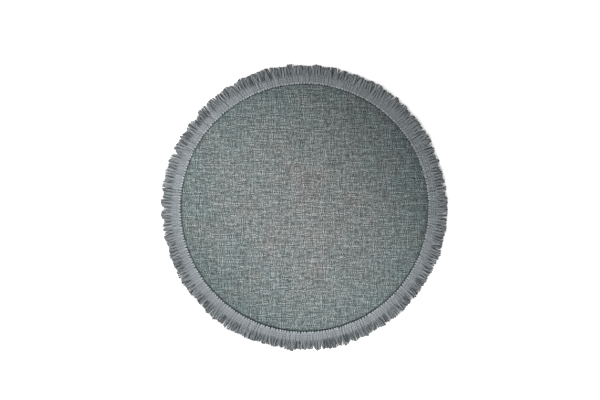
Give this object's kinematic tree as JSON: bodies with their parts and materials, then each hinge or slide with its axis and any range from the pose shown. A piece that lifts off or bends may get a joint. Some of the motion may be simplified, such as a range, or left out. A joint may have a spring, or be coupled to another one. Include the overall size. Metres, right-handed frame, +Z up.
{
  "type": "chair seat pad",
  "caption": "Round padded chair seat pad in woven cloth, with a knitted brush fringe sewn on around its rim.",
  "frame": {"origin": "middle of the underside, on the surface that the pad lies on", "axes": "+Z up through the crown; X and Y run along the two thread directions of the cloth"},
  "size_m": [0.4, 0.4, 0.025],
  "materials": {
    "cover_cloth": "matt plain-weave melange cloth in light and dark grey-green yarns",
    "foam": "soft open-cell polyurethane foam",
    "wadding": "fluffy white polyester wadding",
    "fringe_yarn": "slightly glossy blue-grey fringe yarn, cut at its outer end",
    "chain_yarn": "fine blue-grey warp yarn knitted in chains",
    "sewing_thread": "smooth grey polyester sewing thread"
  },
  "bodies": {
    "root": {"top_cover": "cover_cloth", "bottom_cover": "cover_cloth", "foam_core": "foam", "wadding_top": "wadding", "wadding_bottom": "wadding", "fringe_header": "fringe_yarn", "fringe_skirt": "fringe_yarn", "fringe_chain_1": "chain_yarn", "fringe_chain_2": "chain_yarn", "fringe_chain_3": "chain_yarn", "trim_needle_thread": "sewing_thread", "trim_bobbin_thread": "sewing_thread", "cover_seam_thread": "sewing_thread"}
  },
  "joints": []
}
